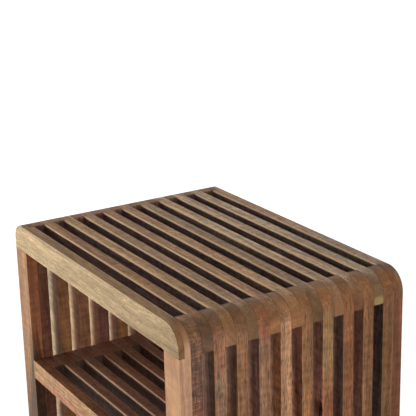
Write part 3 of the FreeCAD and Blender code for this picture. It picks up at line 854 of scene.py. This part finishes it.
def keyhole_waste(place, width, depth):
    """The upright round-ended waste of a chase or a slot, above the entry hole at the frame's zero height."""
    low = (place - width / 2, -depth, -width / 2)
    high = (place + width / 2, SAW_MARGIN, SLOT_RISE + width / 2)
    return round_ended("waste", low, high, width / 2)


rear_boards = {
    "rear_top_rail": lapped_rail("rear_top_rail", upper=True, in_front=False),
    "rear_bottom_rail": lapped_rail("rear_bottom_rail", upper=False, in_front=False),
    "rear_left_stile": lapped_stile("rear_left_stile", in_front=True),
    "rear_right_stile": lapped_stile("rear_right_stile", in_front=True),
}
rebate_low = panel_low - Vector((PANEL_CLEARANCE, 0, PANEL_CLEARANCE))
rebate_high = panel_high + Vector((PANEL_CLEARANCE, SAW_MARGIN, PANEL_CLEARANCE))
for number, (node, board) in enumerate(rear_boards.items()):
    cut_away(board, rebate_low, rebate_high)
    sand(board)
    along, tones = ("x", PALE_BROWN) if "rail" in node else ("z", RUSSET)
    # the rear top rail's face in the last gap of the top takes the top's painted shade
    special = {"cheek": TOP_CHEEK_SHADE_GREY, "spots": RAIL_END} if node == "rear_top_rail" else {}
    wood = mango(f"mango_{node}", along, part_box(node), REAR_CUT + number, *tones, wear_and_highlight=0.6, **special)
    board.data.materials.append(wood)
    fit(board, node)
for place in plate_places:
    low = (place - PLATE_LENGTH / 2, -PLATE_THICKNESS, plate_height - PLATE_HEIGHT / 2)
    high = (place + PLATE_LENGTH / 2, SAW_MARGIN, plate_height + PLATE_HEIGHT / 2)
    cut_out(rear_boards["rear_top_rail"], round_ended("waste", low, high, PLATE_HEIGHT / 2))
    cut_out(rear_boards["rear_top_rail"], keyhole_waste(place, CHASE_WIDTH, CHASE_DEPTH))
smooth(rear_boards["rear_top_rail"])

# Back panel: one sheet of 6 mm plywood, stained to go with the frame and glued into its rebate.
# Brads hold it while the glue sets: their heads stay flush with the back.
PANEL_STAIN = ("#7A4A34", "#9A6448", "#55301F")
# Length and width of the veneer's figure and fibres in metres. The fibres are drawn wider than real ones.
VENEER_FIGURE = (0.22, 0.03)
VENEER_FIBRE = (0.05, 0.0015)
VENEER_RELIEF = 0.0002
BRAD_RADIUS = 0.0008
BRAD_LENGTH = 0.012
BRAD_POINT = 0.003
BRAD_INSET = 0.005
BRAD_SIDES = 12
BRADS_ACROSS = 6
BRADS_UP = 5
POINT_SHARE = 0.02
SCREW_ZINC = ("#46443E", "#66645E")
FILM_CLOUD = 0.004
FILM_RELIEF = 0.00005


def stained_plywood(name):
    """Rotary-cut veneer under brown stain: wide flowing figure, fine fibres, a dull even surface."""
    material = bpy.data.materials.new(name)
    material.use_nodes = True
    tree = material.node_tree
    shader = tree.nodes["Principled BSDF"]
    place = add_node(tree, "ShaderNodeTexCoord").outputs["Object"]
    layer = []
    for (length, width), detail in ((VENEER_FIGURE, 3), (VENEER_FIBRE, 2)):
        size = {"Vector": place, "Scale": (width, 1, length)}
        spot = add_node(tree, "ShaderNodeMapping", size, vector_type="TEXTURE").outputs[0]
        noise = {"Vector": spot, "Scale": 1, "Detail": detail, "Distortion": 0.6}
        layer.append(add_node(tree, "ShaderNodeTexNoise", noise).outputs[0])
    figure = add_node(tree, "ShaderNodeValToRGB", {"Fac": layer[0]})
    figure.color_ramp.elements[0].position = 0.3
    figure.color_ramp.elements[0].color = linear(PANEL_STAIN[2])
    figure.color_ramp.elements[1].position = 0.7
    figure.color_ramp.elements[1].color = linear(PANEL_STAIN[1])
    figure.color_ramp.elements.new(0.5).color = linear(PANEL_STAIN[0])
    fibre = {"Value": layer[1], 1: 0.25, 2: 0.75}
    shade = add_node(tree, "ShaderNodeMapRange", {**fibre, 3: 0.55, 4: 1.45}).outputs[0]
    toned = add_node(tree, "ShaderNodeHueSaturation", {"Color": figure.outputs[0], "Value": shade}).outputs[0]
    tree.links.new(toned, shader.inputs["Base Color"])
    gloss = add_node(tree, "ShaderNodeMapRange", {**fibre, 3: 0.7, 4: 0.55}).outputs[0]
    tree.links.new(gloss, shader.inputs["Roughness"])
    bump = add_node(tree, "ShaderNodeBump", {"Strength": 0.25, "Distance": VENEER_RELIEF, "Height": shade})
    tree.links.new(bump.outputs[0], shader.inputs["Normal"])
    shader.inputs["Specular IOR Level"].default_value = 0.25
    return material


def zinc_steel(name, dark, pale):
    """Zinc-plated steel: a grey metal with a cloudy, dull film between two tones."""
    material = bpy.data.materials.new(name)
    material.use_nodes = True
    tree = material.node_tree
    shader = tree.nodes["Principled BSDF"]
    place = add_node(tree, "ShaderNodeTexCoord").outputs["Object"]
    clouds = {"Vector": place, "Scale": 1 / FILM_CLOUD, "Detail": 3}
    clouds = add_node(tree, "ShaderNodeTexNoise", clouds).outputs[0]
    film = add_node(tree, "ShaderNodeValToRGB", {"Fac": clouds})
    film.color_ramp.elements[0].position = 0.35
    film.color_ramp.elements[0].color = linear(dark)
    film.color_ramp.elements[1].position = 0.65
    film.color_ramp.elements[1].color = linear(pale)
    tree.links.new(film.outputs[0], shader.inputs["Base Color"])
    dull = add_node(tree, "ShaderNodeMapRange", {"Value": clouds, 1: 0.3, 2: 0.7, 3: 0.5, 4: 0.32}).outputs[0]
    tree.links.new(dull, shader.inputs["Roughness"])
    bump = add_node(tree, "ShaderNodeBump", {"Strength": 0.2, "Distance": FILM_RELIEF, "Height": clouds})
    tree.links.new(bump.outputs[0], shader.inputs["Normal"])
    shader.inputs["Metallic"].default_value = 1
    return material


panel = board_blank("back_panel_sheet", panel_low, panel_high)
sand(panel, SANDED_EDGE / 2)
panel.data.materials.append(stained_plywood("stained_plywood"))
fit(panel, "back_panel")


def round_bar(name, place, radius, length, sides):
    """A round bar that goes forwards from the wall plane."""
    bpy.ops.object.select_all(action="DESELECT")
    middle = (place[0], -length / 2, place[1])
    turn = (math.pi / 2, 0, 0)
    bpy.ops.mesh.primitive_cylinder_add(
        vertices=sides, radius=radius, depth=length, location=middle, rotation=turn
    )
    bar = bpy.context.object
    bar.name = name
    bar.data.name = name
    bpy.ops.object.transform_apply(location=True, rotation=True, scale=True)
    return bar


def draw_down(bar, depth, length, share):
    """Pulls the front face of a round bar forwards by a length, and narrows it to a share of its width."""
    take_up(bar)
    for face in bar.data.polygons:
        face.select = face.center.y < -depth + TOUCH and face.normal.y < LOOKS_FORWARD
    for kind in (bar.data.edges, bar.data.vertices):
        kind.foreach_set("select", [False] * len(kind))
    bpy.context.tool_settings.mesh_select_mode = (False, False, True)
    bpy.ops.object.mode_set(mode="EDIT")
    bpy.ops.mesh.extrude_region_move(TRANSFORM_OT_translate={"value": (0, -length, 0)})
    bpy.ops.transform.resize(value=(share, 1, share))
    bpy.ops.object.mode_set(mode="OBJECT")


brad_places = []
for number in range(BRADS_ACROSS):
    x = panel_low.x + BRAD_INSET + number * (panel_high.x - panel_low.x - 2 * BRAD_INSET) / (BRADS_ACROSS - 1)
    brad_places += [(x, panel_low.z + BRAD_INSET), (x, panel_high.z - BRAD_INSET)]
for number in range(1, BRADS_UP):
    z = panel_low.z + BRAD_INSET + number * (panel_high.z - panel_low.z - 2 * BRAD_INSET) / BRADS_UP
    brad_places += [(panel_low.x + BRAD_INSET, z), (panel_high.x - BRAD_INSET, z)]
brad = round_bar("panel_brads", brad_places[0], BRAD_RADIUS, BRAD_LENGTH - BRAD_POINT, BRAD_SIDES)
draw_down(brad, BRAD_LENGTH - BRAD_POINT, BRAD_POINT, POINT_SHARE)
sand(brad, BRAD_RADIUS / 5)
brads = [brad]
for x, z in brad_places[1:]:
    brads.append(another(brad, "panel_brad", (x - brad_places[0][0], 0, z - brad_places[0][1])))
join(brads)
brad.data.materials.append(zinc_steel("zinc_steel_brads", *SCREW_ZINC))
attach(brad, "root")

# Hanger plates: two pressed steel plates with a keyhole, let in flush with the rear rail.
# Each is held by two countersunk screws with a cross recess. The wall screws go in at the round entry.
SCREW_SPACING = 0.030
SCREW_RADIUS = 0.0015
SCREW_HEAD_RADIUS = 0.003
SCREW_LENGTH = 0.013
SCREW_POINT = 0.004
SCREW_HOLE_RADIUS = 0.0016
CROSS_WIDTH = 0.0007
CROSS_REACH = 0.0017
CROSS_DEPTH = 0.0012
PLATE_ZINC = ("#6A6862", "#8C8E90")
PLATE_EDGE = 0.0002
HOLE_SIDES = 32
countersink = SCREW_HEAD_RADIUS - SCREW_RADIUS


def screw_blank(name, place, clearance):
    """A countersunk head and the shank below it, wider all round by a clearance."""
    bar = round_bar(name, place, SCREW_HEAD_RADIUS + clearance, TOUCH, HOLE_SIDES)
    shank_share = (SCREW_RADIUS + clearance) / (SCREW_HEAD_RADIUS + clearance)
    draw_down(bar, TOUCH, countersink, shank_share)
    draw_down(bar, countersink, SCREW_LENGTH - SCREW_POINT - countersink, 1)
    return bar


plates = []
screws = []
for place in plate_places:
    low = (place - PLATE_LENGTH / 2, -PLATE_THICKNESS, plate_height - PLATE_HEIGHT / 2)
    high = (place + PLATE_LENGTH / 2, 0, plate_height + PLATE_HEIGHT / 2)
    plate = round_ended("hanger_plates_pressed", low, high, PLATE_HEIGHT / 2)
    cut_out(plate, keyhole_waste(place, SLOT_WIDTH, PLATE_THICKNESS + SAW_MARGIN))
    entry = round_bar("waste", (place, 0), ENTRY_DIAMETER / 2, 4 * PLATE_THICKNESS, HOLE_SIDES)
    bpy.ops.transform.translate(value=(0, PLATE_THICKNESS, 0))
    cut_out(plate, entry)
    for side in (-1, 1):
        spot = (place + side * SCREW_SPACING / 2, plate_height)
        cut_out(plate, screw_blank("waste", spot, SCREW_HOLE_RADIUS - SCREW_RADIUS))
        screw = screw_blank("hanger_screws_countersunk", spot, 0)
        draw_down(screw, SCREW_LENGTH - SCREW_POINT, SCREW_POINT, POINT_SHARE)
        for reach, width in ((CROSS_REACH, CROSS_WIDTH / 2), (CROSS_WIDTH / 2, CROSS_REACH)):
            low = (spot[0] - reach, -CROSS_DEPTH, spot[1] - width)
            high = (spot[0] + reach, SAW_MARGIN, spot[1] + width)
            cut_away(screw, low, high)
        sand(screw, PLATE_EDGE / 2)
        screws.append(screw)
    sand(plate, PLATE_EDGE)
    plates.append(plate)
for pieces, node, tones in ((plates, "hanger_plates", PLATE_ZINC), (screws, "hanger_screws", SCREW_ZINC)):
    join(pieces)
    pieces[0].data.materials.append(zinc_steel(f"zinc_steel_{node}", *tones))
    fit(pieces[0], node)

# Studio: a sheet of white paper and a dim dome, with a large soft lamp in front to the left at the height of
# the top, a smaller one on the right, a weak one on the left that shines between the slats, and one above.
# The paper glows only where it is looked at, and least under the piece, so that the shadow stays; the
# dimmer glow round and under the piece is a painted shadow.
FLOOR_SIZE = 12
FLOOR_DROP = 0.0002
DOME_LIGHT = 0.05
LAMP_AIM = 0.1
middle = (Vector(cad_box[0]) + Vector(cad_box[1])) / 2
half = (Vector(cad_box[1]) - Vector(cad_box[0])) / 2
floor_place = (middle.x, middle.y, middle.z - half.z - FLOOR_DROP)
bpy.ops.object.select_all(action="DESELECT")
bpy.ops.mesh.primitive_plane_add(size=FLOOR_SIZE, location=floor_place)
floor = bpy.context.object
floor.name = "floor"


def seen_directly(tree):
    """One for rays that look at a surface straight, in a mirror or through glass, and else zero."""
    rays = add_node(tree, "ShaderNodeLightPath").outputs
    seen = rays["Is Camera Ray"]
    for ray in ("Is Glossy Ray", "Is Transmission Ray"):
        seen = add_node(tree, "ShaderNodeMath", {0: seen, 1: rays[ray]}, operation="MAXIMUM").outputs[0]
    return seen


paper = bpy.data.materials.new("white_paper")
paper.use_nodes = True
tree = paper.node_tree
sheet = tree.nodes["Principled BSDF"]
sheet.inputs["Base Color"].default_value = linear("#E6E6E4")
sheet.inputs["Roughness"].default_value = 0.9
sheet.inputs["Specular IOR Level"].default_value = 0
sheet.inputs["Emission Color"].default_value = (1, 1, 1, 1)
spot = add_node(tree, "ShaderNodeTexCoord").outputs["Object"]
away = add_node(tree, "ShaderNodeVectorMath", {0: spot}, operation="LENGTH").outputs["Value"]
far = add_node(tree, "ShaderNodeMapRange", {"Value": away, 1: 0.5, 2: 1.4, 3: 0, 4: 0.25}).outputs[0]
# painted shadow: the glow falls off towards the piece's footprint and is least under it
under = {"Vector": spot, "Scale": (half.x, half.y, 1)}
under = add_node(tree, "ShaderNodeMapping", under, vector_type="TEXTURE").outputs[0]
under = add_node(tree, "ShaderNodeVectorMath", {0: under}, operation="ABSOLUTE").outputs[0]
under = add_node(tree, "ShaderNodeSeparateXYZ", {0: under}).outputs
outside = add_node(tree, "ShaderNodeMath", {0: under[0], 1: under[1]}, operation="MAXIMUM").outputs[0]
near = {"Value": outside, 1: 0.9, 2: 1.9, 3: 0.1, 4: 0.75}
near = add_node(tree, "ShaderNodeMapRange", near, interpolation_type="SMOOTHSTEP").outputs[0]
white = add_node(tree, "ShaderNodeMath", {0: near, 1: far}, operation="ADD").outputs[0]
glow = add_node(tree, "ShaderNodeMath", {0: seen_directly(tree), 1: white}, operation="MULTIPLY").outputs[0]
tree.links.new(glow, sheet.inputs["Emission Strength"])
floor.data.materials.append(paper)

world = bpy.data.worlds.new("white_dome")
bpy.context.scene.world = world
world.use_nodes = True
tree = world.node_tree
sky = add_node(tree, "ShaderNodeSeparateXYZ", {0: add_node(tree, "ShaderNodeTexCoord").outputs["Generated"]})
backdrop = {"Value": sky.outputs[2], 1: 0.45, 2: 0.85, 3: 1, 4: 0.3}
backdrop = add_node(tree, "ShaderNodeMapRange", backdrop).outputs[0]
level = add_node(tree, "ShaderNodeMix", {0: seen_directly(tree), 2: DOME_LIGHT, 3: backdrop}).outputs[0]
tree.links.new(level, tree.nodes["Background"].inputs["Strength"])
tree.nodes["Background"].inputs["Color"].default_value = (1, 1, 1, 1)

target = Vector((0, (rail_low.y + rail_high.y) / 2, rail_high.z - LAMP_AIM))
# Place from there, width, height and power of each lamp.
LAMPS = {
    "key": ((-2.2, -2.75, 0.14), 1.9, 0.8, 92),
    "side": ((2.5, 0.15, 0.35), 0.5, 0.8, 24),
    "left": ((-1.5, -0.75, 0.25), 1.6, 0.8, 7),
    "top": ((0, 0.5, 2.2), 1.0, 0.6, 11.5),
}
for name, (offset, width, height, power) in LAMPS.items():
    lamp = bpy.data.lights.new(name, "AREA")
    lamp.shape = "RECTANGLE"
    lamp.size = width
    lamp.size_y = height
    lamp.energy = power
    holder = bpy.data.objects.new(name, lamp)
    bpy.context.scene.collection.objects.link(holder)
    holder.location = target + Vector(offset)
    holder.rotation_euler = (-Vector(offset)).to_track_quat("-Z", "Y").to_euler()

# Camera: fitted to the photograph, from the front right and a little above the top.
# Its place is counted from the middle of the top rail's front upper edge.
CAMERA_LENS = 106.08
CAMERA_SENSOR = 36
CAMERA_PLACE = Vector((1.28900, -0.59847, 0.53069))
CAMERA_YAW = math.radians(58.9621)
CAMERA_PITCH = math.radians(17.8608)
CAMERA_ROLL = math.radians(-1.4451)
camera = bpy.data.objects.new("camera", bpy.data.cameras.new("camera"))
bpy.context.scene.collection.objects.link(camera)
camera.data.lens = CAMERA_LENS
camera.data.sensor_width = CAMERA_SENSOR
front_top = Vector((0, rail_low.y, rail_high.z))
camera.matrix_world = (
    Matrix.Translation(front_top + CAMERA_PLACE)
    @ Matrix.Rotation(CAMERA_YAW, 4, "Z")
    @ Matrix.Rotation(math.pi / 2 - CAMERA_PITCH, 4, "X")
    @ Matrix.Rotation(CAMERA_ROLL, 4, "Z")
)
bpy.context.scene.camera = camera
bpy.context.scene.view_settings.view_transform = "Standard"
